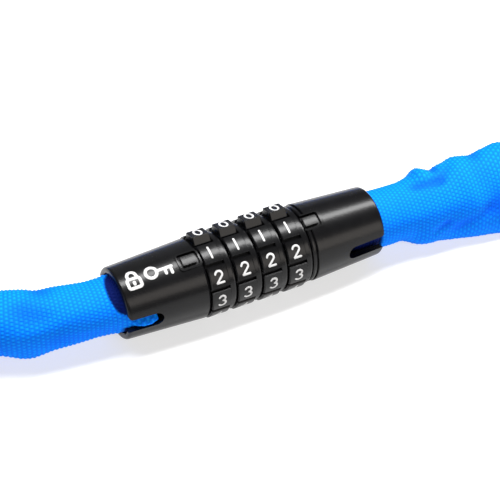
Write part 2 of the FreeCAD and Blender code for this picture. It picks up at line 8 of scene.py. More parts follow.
import bpy
import numpy as np
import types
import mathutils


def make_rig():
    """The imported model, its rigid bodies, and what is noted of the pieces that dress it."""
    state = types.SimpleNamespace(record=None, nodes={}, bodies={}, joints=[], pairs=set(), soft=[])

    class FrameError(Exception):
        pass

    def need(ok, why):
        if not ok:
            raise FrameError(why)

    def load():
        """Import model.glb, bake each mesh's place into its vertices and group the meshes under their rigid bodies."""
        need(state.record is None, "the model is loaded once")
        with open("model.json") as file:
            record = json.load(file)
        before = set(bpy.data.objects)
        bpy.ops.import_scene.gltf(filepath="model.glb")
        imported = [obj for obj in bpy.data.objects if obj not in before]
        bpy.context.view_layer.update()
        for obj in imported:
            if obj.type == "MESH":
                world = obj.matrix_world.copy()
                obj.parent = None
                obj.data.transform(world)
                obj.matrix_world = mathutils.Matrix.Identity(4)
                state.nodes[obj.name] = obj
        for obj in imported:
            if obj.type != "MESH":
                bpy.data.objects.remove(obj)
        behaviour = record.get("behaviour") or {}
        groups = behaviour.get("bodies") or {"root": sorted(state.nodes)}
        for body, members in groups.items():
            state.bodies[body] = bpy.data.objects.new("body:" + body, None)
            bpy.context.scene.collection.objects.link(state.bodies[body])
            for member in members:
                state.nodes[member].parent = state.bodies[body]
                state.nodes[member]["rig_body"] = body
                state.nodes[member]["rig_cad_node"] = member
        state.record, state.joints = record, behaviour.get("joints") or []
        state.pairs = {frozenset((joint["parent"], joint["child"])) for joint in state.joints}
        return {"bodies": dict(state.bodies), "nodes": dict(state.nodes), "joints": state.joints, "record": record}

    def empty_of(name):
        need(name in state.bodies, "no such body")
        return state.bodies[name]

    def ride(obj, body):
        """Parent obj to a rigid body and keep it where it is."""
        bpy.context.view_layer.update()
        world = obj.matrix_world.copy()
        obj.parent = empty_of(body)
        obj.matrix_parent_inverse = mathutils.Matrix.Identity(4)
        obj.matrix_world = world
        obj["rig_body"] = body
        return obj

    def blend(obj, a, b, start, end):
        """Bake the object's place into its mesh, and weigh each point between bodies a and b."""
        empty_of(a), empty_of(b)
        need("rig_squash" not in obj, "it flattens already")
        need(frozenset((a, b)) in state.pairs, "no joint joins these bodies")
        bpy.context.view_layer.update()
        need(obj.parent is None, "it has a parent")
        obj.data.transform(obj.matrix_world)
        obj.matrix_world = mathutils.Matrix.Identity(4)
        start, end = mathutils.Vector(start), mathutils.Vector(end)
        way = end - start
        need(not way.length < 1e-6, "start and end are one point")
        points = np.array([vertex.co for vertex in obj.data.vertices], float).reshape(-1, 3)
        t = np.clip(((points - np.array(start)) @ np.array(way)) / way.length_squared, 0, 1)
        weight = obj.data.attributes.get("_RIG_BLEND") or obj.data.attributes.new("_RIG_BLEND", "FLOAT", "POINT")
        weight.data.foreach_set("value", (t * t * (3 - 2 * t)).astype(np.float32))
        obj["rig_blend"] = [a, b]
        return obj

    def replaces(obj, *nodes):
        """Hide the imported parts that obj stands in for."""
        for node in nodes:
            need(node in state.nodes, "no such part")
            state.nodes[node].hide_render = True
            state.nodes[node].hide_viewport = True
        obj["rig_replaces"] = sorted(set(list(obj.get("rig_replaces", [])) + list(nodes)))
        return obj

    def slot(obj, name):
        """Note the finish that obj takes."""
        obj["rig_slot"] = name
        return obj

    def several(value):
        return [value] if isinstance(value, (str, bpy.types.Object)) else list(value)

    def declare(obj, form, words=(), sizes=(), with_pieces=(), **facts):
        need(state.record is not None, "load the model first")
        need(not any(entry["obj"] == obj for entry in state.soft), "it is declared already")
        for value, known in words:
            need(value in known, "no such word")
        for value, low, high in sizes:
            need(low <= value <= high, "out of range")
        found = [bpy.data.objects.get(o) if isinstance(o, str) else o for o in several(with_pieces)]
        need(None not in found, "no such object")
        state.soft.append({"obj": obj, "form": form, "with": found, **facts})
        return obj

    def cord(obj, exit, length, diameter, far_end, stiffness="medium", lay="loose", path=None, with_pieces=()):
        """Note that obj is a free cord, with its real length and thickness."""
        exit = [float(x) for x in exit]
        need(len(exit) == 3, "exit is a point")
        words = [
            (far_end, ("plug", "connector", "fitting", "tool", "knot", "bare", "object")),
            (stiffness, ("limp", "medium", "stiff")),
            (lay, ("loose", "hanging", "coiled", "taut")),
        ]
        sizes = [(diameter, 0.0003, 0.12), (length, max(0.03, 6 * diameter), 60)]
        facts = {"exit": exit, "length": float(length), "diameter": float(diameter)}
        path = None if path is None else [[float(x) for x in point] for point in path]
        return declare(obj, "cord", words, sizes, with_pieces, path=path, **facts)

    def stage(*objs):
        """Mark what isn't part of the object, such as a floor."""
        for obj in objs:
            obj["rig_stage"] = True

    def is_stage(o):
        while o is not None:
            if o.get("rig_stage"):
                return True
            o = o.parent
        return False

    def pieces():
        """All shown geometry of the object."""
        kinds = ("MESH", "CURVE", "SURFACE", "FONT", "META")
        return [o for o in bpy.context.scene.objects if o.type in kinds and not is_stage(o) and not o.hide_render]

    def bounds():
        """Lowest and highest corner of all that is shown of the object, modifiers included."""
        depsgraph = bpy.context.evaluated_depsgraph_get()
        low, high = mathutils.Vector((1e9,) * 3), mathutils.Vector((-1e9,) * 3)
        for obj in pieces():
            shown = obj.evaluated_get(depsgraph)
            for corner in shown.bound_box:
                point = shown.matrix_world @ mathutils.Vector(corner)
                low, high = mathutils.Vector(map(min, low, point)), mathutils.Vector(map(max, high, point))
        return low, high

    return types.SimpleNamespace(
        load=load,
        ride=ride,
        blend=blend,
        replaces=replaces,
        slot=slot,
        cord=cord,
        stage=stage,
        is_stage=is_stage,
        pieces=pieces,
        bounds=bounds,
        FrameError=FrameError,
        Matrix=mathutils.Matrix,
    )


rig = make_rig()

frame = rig.load()
cad_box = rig.bounds()

MM = 0.001
LOG = logging.getLogger("chain_lock")
Colour = tuple[float, float, float]
Point = tuple[float, float, float]

# Sizes that the CAD model and its looks share, in millimetres.
HALF = 47.85
SLEEVE_START = 37.3
DIAL_R = 14.1
AXIS_Z = math.sqrt(DIAL_R ** 2 - 0.8 ** 2)
INDEX_ANGLE = 18.0
STEP_ANGLE = 36.0
LOW = 12.55
ROUTE: list[Point] = [
    (SLEEVE_START, 0.0, AXIS_Z), (82.0, -1.2, AXIS_Z - 0.6), (130.0, -8.0, LOW), (173.0, 17.0, LOW),
    (200.0, 58.0, LOW), (207.0, 112.0, LOW), (201.0, 164.0, LOW), (176.0, 210.0, LOW),
    (131.0, 241.0, LOW), (79.0, 254.0, LOW), (15.0, 257.0, LOW), (-43.0, 249.0, LOW),
    (-92.0, 228.0, LOW), (-130.0, 194.0, LOW), (-150.0, 146.0, LOW), (-153.0, 96.0, LOW),
    (-138.0, 50.0, LOW), (-106.0, 19.0, LOW + 0.4), (-71.0, 0.2, AXIS_Z),
    (-SLEEVE_START, 0.0, AXIS_Z),
]


class Socket(Enum):
    """Kinds of value that a shader group takes in or puts out."""

    VALUE = "NodeSocketFloat"
    COLOUR = "NodeSocketColor"


class Mouth(Enum):
    """The two ends of the sleeve."""

    PLUG = "plug"
    SOCKET = "socket"


# ---- shader tools
class Graph:
    """Adds nodes to a node tree and joins them."""

    def __init__(self, tree: bpy.types.NodeTree) -> None:
        """Keeps the tree that the nodes go into."""
        self.tree = tree

    def add(self, kind: str, settings: dict | None = None, **inputs: object) -> bpy.types.Node:
        """Adds one node.

        Args:
            kind: the node's Blender type without its "ShaderNode" start.
            settings: attributes to set on the node.
            inputs: socket values or links, named as the sockets with _ for spaces, or i0, i1.
        Returns:
            The node.
        """
        node = self.tree.nodes.new("ShaderNode" + kind)
        for name, value in (settings or {}).items():
            setattr(node, name, value)
        for name, value in inputs.items():
            number = name[1:]
            key = int(number) if name[0] == "i" and number.isdigit() else name.replace("_", " ")
            self.feed(node.inputs[key], value)
        return node

    def feed(self, socket: bpy.types.NodeSocket, value: object) -> None:
        """Links a socket to another, or sets its value."""
        if isinstance(value, bpy.types.NodeSocket):
            self.tree.links.new(value, socket)
        else:
            socket.default_value = value

    def maths(self, operation: str, *values: object) -> bpy.types.NodeSocket:
        """The result of a Math node on up to three values."""
        inputs = {f"i{k}": value for k, value in enumerate(values)}
        return self.add("Math", {"operation": operation}, **inputs).outputs[0]

    def mix(self, share: object, first: object, second: object) -> bpy.types.NodeSocket:
        """A mix of two colours by a share."""
        settings = {"data_type": "RGBA", "clamp_factor": True}
        return self.add("Mix", settings, i0=share, i6=first, i7=second).outputs[2]

    def ramp(self, value: object, low: float, high: float) -> bpy.types.NodeSocket:
        """A value spread smoothly from 0 at low to 1 at high."""
        settings = {"interpolation_type": "SMOOTHSTEP"}
        node = self.add("MapRange", settings, Value=value, From_Min=low, From_Max=high)
        return node.outputs[0]

    def noise(self, place: object, size: float, detail: float = 2.0) -> bpy.types.NodeSocket:
        """Noise from 0 to 1 whose features are about size metres across."""
        node = self.add("TexNoise", None, Vector=place, Scale=1.0 / size, Detail=detail)
        return node.outputs[0]


def rgba(colour: Colour) -> tuple[float, float, float, float]:
    """A colour with full alpha."""
    return (*colour, 1.0)


def new_group(name: str, takes: dict, gives: dict) -> tuple[Graph, dict, bpy.types.Node]:
    """Starts a shader node group.

    Args:
        name: the group's name.
        takes: each input's name, with its kind and its usual value.
        gives: each output's name, with its kind.
    Returns:
        The graph, the input sockets by name, and the output node.
    """
    tree = bpy.data.node_groups.new(name, "ShaderNodeTree")
    for label, (kind, value) in takes.items():
        item = tree.interface.new_socket(label, in_out="INPUT", socket_type=kind.value)
        item.default_value = value
    for label, kind in gives.items():
        tree.interface.new_socket(label, in_out="OUTPUT", socket_type=kind.value)
    start = tree.nodes.new("NodeGroupInput")
    end = tree.nodes.new("NodeGroupOutput")
    return Graph(tree), {s.name: s for s in start.outputs if s.name}, end


class Effects:
    """The shader groups that several finishes share."""

    def __init__(self) -> None:
        """Builds each group once."""
        self.skin = self._skin()
        self.drift = self._drift()
        self.grain = self._grain()

    def _skin(self) -> bpy.types.NodeTree:
        """Orange peel: two sizes of noise added, 3 parts broad to 1 part fine, and a dust mask."""
        takes = {"Size": (Socket.VALUE, 0.0012), "Dust": (Socket.VALUE, 0.2)}
        graph, given, end = new_group("paint_skin", takes, {"Height": Socket.VALUE, "Dust": Socket.VALUE})
        place = graph.add("TexCoord").outputs["Object"]
        across = graph.maths("DIVIDE", 1.0, given["Size"])
        broad = graph.add("TexNoise", None, Vector=place, Scale=across, Detail=1.0).outputs[0]
        finer = graph.maths("MULTIPLY", across, 3.1)
        fine = graph.add("TexNoise", None, Vector=place, Scale=finer, Detail=2.0).outputs[0]
        height = graph.maths("MULTIPLY_ADD", fine, 0.33, broad)
        specks = graph.ramp(graph.noise(place, 0.0004, 3.0), 0.68, 0.78)
        patches = graph.ramp(graph.noise(place, 0.009, 2.0), 0.45, 0.75)
        dust = graph.maths("MULTIPLY", graph.maths("MULTIPLY", specks, patches), given["Dust"])
        graph.feed(end.inputs["Height"], height)
        graph.feed(end.inputs["Dust"], dust)
        return graph.tree

    def _drift(self) -> bpy.types.NodeTree:
        """Tone drift: two colours mixed by broad, soft noise."""
        takes = {
            "First": (Socket.COLOUR, rgba((0.5, 0.5, 0.5))),
            "Second": (Socket.COLOUR, rgba((0.6, 0.6, 0.6))),
            "Size": (Socket.VALUE, 0.01),
        }
        graph, given, end = new_group("tone_drift", takes, {"Colour": Socket.COLOUR})
        place = graph.add("TexCoord").outputs["Object"]
        across = graph.maths("DIVIDE", 1.0, given["Size"])
        cloud = graph.add("TexNoise", None, Vector=place, Scale=across, Detail=3.0).outputs[0]
        share = graph.ramp(cloud, 0.3, 0.7)
        graph.feed(end.inputs["Colour"], graph.mix(share, given["First"], given["Second"]))
        return graph.tree

    def _grain(self) -> bpy.types.NodeTree:
        """Turning marks: noise squeezed along the barrel so that its streaks run round it."""
        takes = {"Size": (Socket.VALUE, 0.0004)}
        graph, given, end = new_group("turning_marks", takes, {"Height": Socket.VALUE})
        place = graph.add("TexCoord").outputs["Object"]
        squeezed = graph.add(
            "VectorMath", {"operation": "MULTIPLY"}, i0=place, i1=(1.0, 0.12, 0.12)).outputs[0]
        across = graph.maths("DIVIDE", 1.0, given["Size"])
        marks = graph.add("TexNoise", None, Vector=squeezed, Scale=across, Detail=3.0).outputs[0]
        graph.feed(end.inputs["Height"], marks)
        return graph.tree

    def place(self, graph: Graph, group: bpy.types.NodeTree, **inputs: object) -> bpy.types.Node:
        """Puts a group into a material's graph with its own values."""
        node = graph.add("Group", {"node_tree": group})
        for name, value in inputs.items():
            graph.feed(node.inputs[name], value)
        return node


def new_material(name: str) -> tuple[bpy.types.Material, Graph, bpy.types.Node]:
    """A new material, its graph and its Principled shader."""
    material = bpy.data.materials.new(name)
    material.use_nodes = True
    shader = next(n for n in material.node_tree.nodes if n.type == "BSDF_PRINCIPLED")
    return material, Graph(material.node_tree), shader


# ---- finishes
@dataclass(frozen=True)
class Paint:
    """Glossy black lacquer with a fine orange peel."""

    name: str
    colour: Colour = (0.0025, 0.0025, 0.003)
    other: Colour = (0.004, 0.004, 0.0045)
    roughness: float = 0.27
    peel: float = 0.0011
    depth: float = 0.000012
    dust: float = 0.35

    def make(self, effects: Effects) -> bpy.types.Material:
        """Builds the material.

        Args:
            effects: the shared shader groups.
        Returns:
            The material.
        """
        material, graph, shader = new_material(self.name)
        skin = effects.place(graph, effects.skin, Size=self.peel, Dust=self.dust)
        drift = effects.place(
            graph, effects.drift, First=rgba(self.colour), Second=rgba(self.other), Size=0.006)
        colour = graph.mix(skin.outputs["Dust"], drift.outputs["Colour"], rgba((0.16, 0.15, 0.14)))
        rough = graph.maths("MULTIPLY_ADD", skin.outputs["Dust"], 0.3, self.roughness)
        bump = graph.add("Bump", None, Height=skin.outputs["Height"], Distance=self.depth, Strength=1.0)
        graph.feed(shader.inputs["Base Color"], colour)
        graph.feed(shader.inputs["Roughness"], rough)
        graph.feed(shader.inputs["Normal"], bump.outputs[0])
        shader.inputs["Specular IOR Level"].default_value = 0.2
        shader.inputs["Coat Weight"].default_value = 0.08
        shader.inputs["Coat Roughness"].default_value = 0.16
        return material


@dataclass(frozen=True)
class Metal:
    """Machined or drawn metal with turning marks and a drift in its tone."""

    name: str
    colour: Colour
    other: Colour
    roughness: float = 0.3
    marks: float = 0.0004
    depth: float = 0.00001

    def make(self, effects: Effects) -> bpy.types.Material:
        """Builds the material.

        Args:
            effects: the shared shader groups.
        Returns:
            The material.
        """
        material, graph, shader = new_material(self.name)
        grain = effects.place(graph, effects.grain, Size=self.marks)
        drift = effects.place(
            graph, effects.drift, First=rgba(self.colour), Second=rgba(self.other), Size=0.004)
        rough = graph.maths("MULTIPLY_ADD", grain.outputs["Height"], 0.2, self.roughness - 0.1)
        bump = graph.add("Bump", None, Height=grain.outputs["Height"], Distance=self.depth, Strength=1.0)
        graph.feed(shader.inputs["Base Color"], drift.outputs["Colour"])
        graph.feed(shader.inputs["Roughness"], rough)
        graph.feed(shader.inputs["Normal"], bump.outputs[0])
        shader.inputs["Metallic"].default_value = 1.0
        return material


@dataclass(frozen=True)
class Ink:
    """White pad-printed ink, slightly uneven."""

    name: str = "print_white"
    colour: Colour = (0.50, 0.50, 0.50)
    other: Colour = (0.60, 0.60, 0.60)

    def make(self, effects: Effects) -> bpy.types.Material:
        """Builds the material.

        Args:
            effects: the shared shader groups.
        Returns:
            The material.
        """
        material, graph, shader = new_material(self.name)
        skin = effects.place(graph, effects.skin, Size=0.0005, Dust=0.5)
        drift = effects.place(
            graph, effects.drift, First=rgba(self.colour), Second=rgba(self.other), Size=0.001)
        colour = graph.mix(skin.outputs["Dust"], drift.outputs["Colour"], rgba((0.3, 0.3, 0.3)))
        bump = graph.add("Bump", None, Height=skin.outputs["Height"], Distance=0.00001, Strength=1.0)
        graph.feed(shader.inputs["Base Color"], colour)
        graph.feed(shader.inputs["Normal"], bump.outputs[0])
        shader.inputs["Roughness"].default_value = 0.5
        return material


@dataclass(frozen=True)
class Weave:
    """Bright blue plain weave whose thread crossings stand up as staggered domes, with a painted highlight on each
    dome's top and painted shade in the gaps between them.

    The piece's UV map holds the distance along the sleeve and round it, in metres.
    """

    name: str = "sleeve_weave"
    row: float = 1.4 * MM
    around: int = 46
    girth: float = 2 * math.pi * 12.0 * MM
    thread: Colour = (0.0, 0.195, 0.90)
    # painted highlight: the lighter blue on the dome tops
    top: Colour = (0.001, 0.27, 0.95)
    # painted shade: the darker blue in the gaps between the domes
    gap: Colour = (0.0, 0.155, 0.86)
    # painted shade: the deeper blue mixed into the creases
    crease: Colour = (0.0, 0.09, 0.86)
    shade: Colour = (0.0, 0.006, 0.085)

    def heights(self, along: np.ndarray, round_share: np.ndarray) -> np.ndarray:
        """Dome height of the weave, from 0 to 1.

        Each cell is one row long and one share of the girth wide, and every other row is
        moved half a cell. The height is the product of two humps, each the sine of half a
        turn over the cell, taken to the power 1.1.

        Args:
            along: distance along the sleeve, in metres.
            round_share: place round the sleeve, from 0 to 1.
        Returns:
            The heights, as an array of the same shape.
        """
        rows = along / self.row
        moved = 0.5 * np.mod(np.floor(rows), 2.0)
        lengthwise = np.sin(np.pi * np.mod(rows, 1.0))
        crosswise = np.sin(np.pi * np.mod(round_share * self.around + moved, 1.0))
        return np.power(np.clip(lengthwise * crosswise, 0, 1), 1.1)

    def make(self, effects: Effects) -> bpy.types.Material:
        """Builds the material, with the same domes as heights() gives.

        Args:
            effects: the shared shader groups.
        Returns:
            The material.
        """
        material, graph, shader = new_material(self.name)
        place = graph.add("UVMap", {"uv_map": "weave"}).outputs[0]
        parts = graph.add("SeparateXYZ", None, Vector=place)
        rows = graph.maths("DIVIDE", parts.outputs[0], self.row)
        cells = graph.maths("DIVIDE", parts.outputs[1], self.girth / self.around)
        odd = graph.maths("MODULO", graph.maths("FLOOR", rows), 2.0)
        shifted = graph.maths("MULTIPLY_ADD", odd, 0.5, cells)
        lengthwise = graph.maths("SINE", graph.maths("MULTIPLY", graph.maths("FRACT", rows), math.pi))
        crosswise = graph.maths("SINE", graph.maths("MULTIPLY", graph.maths("FRACT", shifted), math.pi))
        dome = graph.maths("POWER", graph.maths("MULTIPLY", lengthwise, crosswise), 1.1)
        fibres = graph.noise(graph.add("TexCoord").outputs["Object"], 0.00022, 2.0)
        height = graph.maths("MULTIPLY_ADD", fibres, 0.12, dome)
        drift = effects.place(
            graph, effects.drift, First=rgba(self.thread),
            Second=rgba(tuple(0.93 * c for c in self.thread)), Size=0.007)
        dent = graph.add("Attribute", {"attribute_name": "dent"}).outputs["Fac"]
        # painted highlight on the dome tops, then painted shade in the gaps between them
        colour = graph.mix(graph.ramp(dome, 0.45, 1.0), drift.outputs["Colour"], rgba(self.top))
        colour = graph.mix(graph.ramp(dome, 0.5, 0.0), colour, rgba(self.gap))
        # painted shade in the creases, deeper where the folds press the cloth in
        colour = graph.mix(graph.maths("MULTIPLY", dent, 0.8), colour, rgba(self.crease))
        shade = graph.add("Attribute", {"attribute_name": "shade"}).outputs["Fac"]
        colour = graph.mix(shade, colour, rgba(self.shade))
        bump = graph.add("Bump", None, Height=height, Distance=0.0003, Strength=0.9)
        graph.feed(shader.inputs["Base Color"], colour)
        graph.feed(shader.inputs["Normal"], bump.outputs[0])
        shader.inputs["Roughness"].default_value = 0.75
        shader.inputs["Specular IOR Level"].default_value = 0.08
        return material


@dataclass(frozen=True)
class PaleFloor:
    """Plain pale studio floor."""

    name: str = "studio_floor"
    colour: Colour = (0.42, 0.42, 0.42)
    other: Colour = (0.43, 0.43, 0.43)
    glow: float = 0.64

    def make(self, effects: Effects) -> bpy.types.Material:
        """Builds the material.

        Args:
            effects: the shared shader groups.
        Returns:
            The material.
        """
        material, graph, shader = new_material(self.name)
        drift = effects.place(
            graph, effects.drift, First=rgba(self.colour), Second=rgba(self.other), Size=0.2)
        graph.feed(shader.inputs["Base Color"], drift.outputs["Colour"])
        shader.inputs["Roughness"].default_value = 0.9
        shader.inputs["Specular IOR Level"].default_value = 0.0
        shader.inputs["Emission Color"].default_value = rgba((1.0, 1.0, 1.0))
        shader.inputs["Emission Strength"].default_value = self.glow
        return material


STEEL: Colour = (0.52, 0.52, 0.53)
DARK_STEEL: Colour = (0.40, 0.40, 0.42)
BRASS: Colour = (0.72, 0.50, 0.20)


class Finishes:
    """Every material of the lock, built once."""

    def __init__(self) -> None:
        """Builds the shared groups and the materials."""
        self.effects = Effects()
        self.housing = self._make(Paint("housing_black"))
        self.dial = self._make(Paint("dial_black", roughness=0.25, peel=0.0009))
        self.ring = self._make(Paint("ring_black", roughness=0.4))
        self.plated = self._make(Metal("plated_steel", (0.40, 0.40, 0.39), (0.34, 0.34, 0.335), 0.3))
        self.pin = self._make(Metal("pin_steel", STEEL, DARK_STEEL, 0.32))
        self.washer = self._make(Metal("washer_steel", DARK_STEEL, STEEL, 0.36))
        self.ferrule = self._make(Metal("ferrule_steel", (0.24, 0.24, 0.25), (0.21, 0.21, 0.22), 0.45))
        self.spring = self._make(Metal("spring_steel", DARK_STEEL, (0.34, 0.34, 0.36), 0.3))
        self.brass = self._make(Metal("code_ring_brass", BRASS, (0.62, 0.42, 0.16), 0.34))
        self.chain = self._make(Metal("chain_steel", (0.58, 0.56, 0.50), (0.50, 0.49, 0.45), 0.42))
        self.ink = self._make(Ink())
        self.weave = Weave()
        self.fabric = self._make(self.weave)
        self.floor = self._make(PaleFloor())

    def _make(self, finish: object) -> bpy.types.Material:
        """Builds one finish with the shared groups."""
        return finish.make(self.effects)


# ---- mesh tools
@dataclass
class Patch:
    """A piece of surface: its points and its faces, each a row of point numbers."""

    points: np.ndarray
    faces: list[np.ndarray]


def grid_faces(rows: int, columns: int, closed: bool = False) -> np.ndarray:
    """Quads between rings of points: ring k joins ring k + 1, and each ring closes on itself.

    Args:
        rows: how many rings there are.
        columns: how many points are in each ring.
        closed: whether the last ring joins the first.
    Returns:
        The quads, four point numbers in each row.
    """
    ring = np.arange(rows if closed else rows - 1)[:, None]
    column = np.arange(columns)[None, :]
    after = (ring + 1) % rows
    beside = (column + 1) % columns
    quads = np.stack([
        ring * columns + column, ring * columns + beside,
        after * columns + beside, after * columns + column,
    ], axis=-1)
    return quads.reshape(-1, 4)


def new_object(name: str, patches: Sequence[Patch], material: bpy.types.Material) -> bpy.types.Object:
    """Makes an object at the origin out of patches.

    Args:
        name: the piece's name.
        patches: the surfaces, whose points are in metres in the row frame.
        material: its finish.
    Returns:
        The object, shaded smooth.
    """
    starts = np.cumsum([0] + [len(p.points) for p in patches])
    faces = [(block + start).tolist() for p, start in zip(patches, starts) for block in p.faces]
    mesh = bpy.data.meshes.new(name)
    points = np.concatenate([p.points for p in patches])
    mesh.from_pydata(points.tolist(), [], [face for block in faces for face in block])
    mesh.polygons.foreach_set("use_smooth", np.ones(len(mesh.polygons), bool))
    mesh.materials.append(material)
    mesh.update()
    piece = bpy.data.objects.new(name, mesh)
    bpy.context.scene.collection.objects.link(piece)
    return piece


def dress(material: bpy.types.Material, *nodes: str) -> None:
    """Gives CAD nodes a finish in all their material slots."""
    for name in nodes:
        node = frame["nodes"][name]
        if not node.material_slots:
            node.data.materials.append(material)
        for slot in node.material_slots:
            slot.material = material
        LOG.info("dressed %s in %s", name, material.name)


# ---- printed marks
def arc(x: float, y: float, rx: float, ry: float, start: float, end: float) -> np.ndarray:
    """Points on an ellipse about (x, y) from one angle to another, in degrees from +x."""
    count = max(6, int(abs(end - start) / 12) + 1)
    turn = np.radians(np.linspace(start, end, count))
    return np.stack([x + rx * np.cos(turn), y + ry * np.sin(turn)], axis=1)


def chain_of(*parts: object) -> np.ndarray:
    """Joins points and rows of points into one line."""
    return np.concatenate([np.atleast_2d(np.asarray(p, float)) for p in parts])


def resampled(line: np.ndarray, step: float) -> np.ndarray:
    """The same line with points about a step apart, measured along it."""
    run = np.concatenate([[0], np.cumsum(np.linalg.norm(np.diff(line, axis=0), axis=1))])
    count = max(2, int(run[-1] / step) + 1)
    at = np.linspace(0, run[-1], count)
    return np.stack([np.interp(at, run, line[:, k]) for k in range(line.shape[1])], axis=1)


@dataclass(frozen=True)
class Pen:
    """Draws strokes as low rounded ridges of ink."""

    width: float = 0.74
    lift: float = 0.045
    step: float = 0.22
    ring: int = 8

    def stroke(self, line: np.ndarray, closed: bool = False) -> Patch:
        """A squashed tube along a line in the plane, with round ends.

        A point of the ring at angle t is the line's point plus the line's normal times half
        the width times cos t, at a height of the lift times sin t. Past each end the ring
        shrinks with the cosine of an angle while its middle moves on with its sine.

        Args:
            line: the stroke's middle line, in millimetres.
            closed: whether the stroke is a loop.
        Returns:
            The patch, with points (x, y, height).
        """
        middle = resampled(line, self.step)
        half = self.width / 2
        if closed:
            middle = middle[:-1]
            ahead = np.roll(middle, -1, axis=0) - np.roll(middle, 1, axis=0)
            scale = np.ones(len(middle))
        else:
            ahead = np.gradient(middle, axis=0)
            turn = np.radians([25.0, 50.0, 70.0, 84.0])
            first = ahead[0] / np.linalg.norm(ahead[0])
            last = ahead[-1] / np.linalg.norm(ahead[-1])
            before = middle[0] - half * np.sin(turn[::-1, None]) * first
            after = middle[-1] + half * np.sin(turn[:, None]) * last
            scale = np.concatenate([np.cos(turn[::-1]), np.ones(len(middle)), np.cos(turn)])
            ahead = np.concatenate([np.tile(first, (4, 1)), ahead, np.tile(last, (4, 1))])
            middle = np.concatenate([before, middle, after])
        ahead = ahead / np.linalg.norm(ahead, axis=1, keepdims=True)
        normal = np.stack([ahead[:, 1], -ahead[:, 0]], axis=1)
        angle = 2 * np.pi * np.arange(self.ring) / self.ring
        side = half * scale[:, None] * np.cos(angle)
        flat = middle[:, None, :] + normal[:, None, :] * side[..., None]
        high = self.lift * scale[:, None] * np.sin(angle)
        points = np.concatenate([flat, high[..., None]], axis=2).reshape(-1, 3)
        faces = [grid_faces(len(middle), self.ring, closed)]
        if not closed:
            last_ring = (len(middle) - 1) * self.ring
            faces.append(np.arange(self.ring)[None, ::-1])
            faces.append((last_ring + np.arange(self.ring))[None, :])
        return Patch(points, faces)


def digit_lines(digit: int) -> list[tuple[np.ndarray, bool]]:
    """Middle lines of a rounded numeral, in a box about 2.5 wide and 4 high.

    Args:
        digit: the numeral, 0 to 9.
    Returns:
        Each stroke's line in millimetres, and whether it is a loop.
    """
    shapes: dict[int, list[tuple[np.ndarray, bool]]] = {
        0: [(arc(0, 0, 1.2, 2.0, 0, 360), True)],
        1: [(chain_of((0, -2.0), (0, 2.0)), False)],
        2: [(chain_of(arc(0, 0.85, 1.2, 1.15, 165, -30), (-1.25, -2.0), (1.3, -2.0)), False)],
        3: [(chain_of(arc(-0.05, 1.0, 1.1, 1.0, 150, -80), arc(-0.05, -0.95, 1.25, 1.05, 80, -150)), False)],
        4: [
            (chain_of((0.45, 2.0), (-1.35, -0.85), (1.35, -0.85)), False),
            (chain_of((0.6, 0.5), (0.6, -2.0)), False),
        ],
        5: [(chain_of((1.1, 2.0), (-0.85, 2.0), (-1.05, 0.15), arc(0, -0.7, 1.25, 1.3, 125, -145)), False)],
        6: [(arc(0, -0.8, 1.2, 1.2, 0, 360), True), (arc(0.75, -0.8, 1.95, 2.8, 88, 180), False)],
        7: [(chain_of((-1.25, 2.0), (1.25, 2.0), (-0.4, -2.0)), False)],
        8: [(arc(0, 1.02, 1.0, 0.98, 0, 360), True), (arc(0, -0.95, 1.22, 1.05, 0, 360), True)],
        9: [(arc(0, 0.8, 1.2, 1.2, 0, 360), True), (arc(-0.75, 0.8, 1.95, 2.8, -92, 0), False)],
    }
    return shapes[digit]


def wrapped(patch: Patch, x: float, angle: float, radius: Callable[[np.ndarray], np.ndarray]) -> Patch:
    """Lays flat marks round the barrel.

    The mark's x runs along the barrel. Its y turns back from the angle by y over the
    radius, and its height adds to the radius there.

    Args:
        patch: the marks, with points (x, y, height) in millimetres.
        x: where their middle goes along the barrel.
        angle: the angle of their middle, in degrees from straight up towards the front.
        radius: the barrel's radius at each x.
    Returns:
        The same marks in metres in the row frame.
    """
    along = x + patch.points[:, 0]
    here = radius(along)
    turn = math.radians(angle) - patch.points[:, 1] / here
    out = here + patch.points[:, 2]
    points = np.stack([along, -out * np.sin(turn), out * np.cos(turn) + AXIS_Z], axis=1)
    return Patch(points * MM, patch.faces)


def on_flat(patch: Patch, x: float, angle: float, radius: float) -> Patch:
    """Lays flat marks on a flat at an angle of the barrel, at a distance from its axis.

    Args:
        patch: the marks, with points (x, y, height) in millimetres.
        x: where their middle goes along the barrel.
        angle: the flat's angle, in degrees from straight up towards the front.
        radius: the flat's distance from the axis.
    Returns:
        The same marks in metres in the row frame.
    """
    turn = math.radians(angle)
    out = radius + patch.points[:, 2]
    up = patch.points[:, 1]
    points = np.stack([
        x + patch.points[:, 0],
        -out * math.sin(turn) + up * math.cos(turn),
        out * math.cos(turn) + up * math.sin(turn) + AXIS_Z,
    ], axis=1)
    return Patch(points * MM, patch.faces)


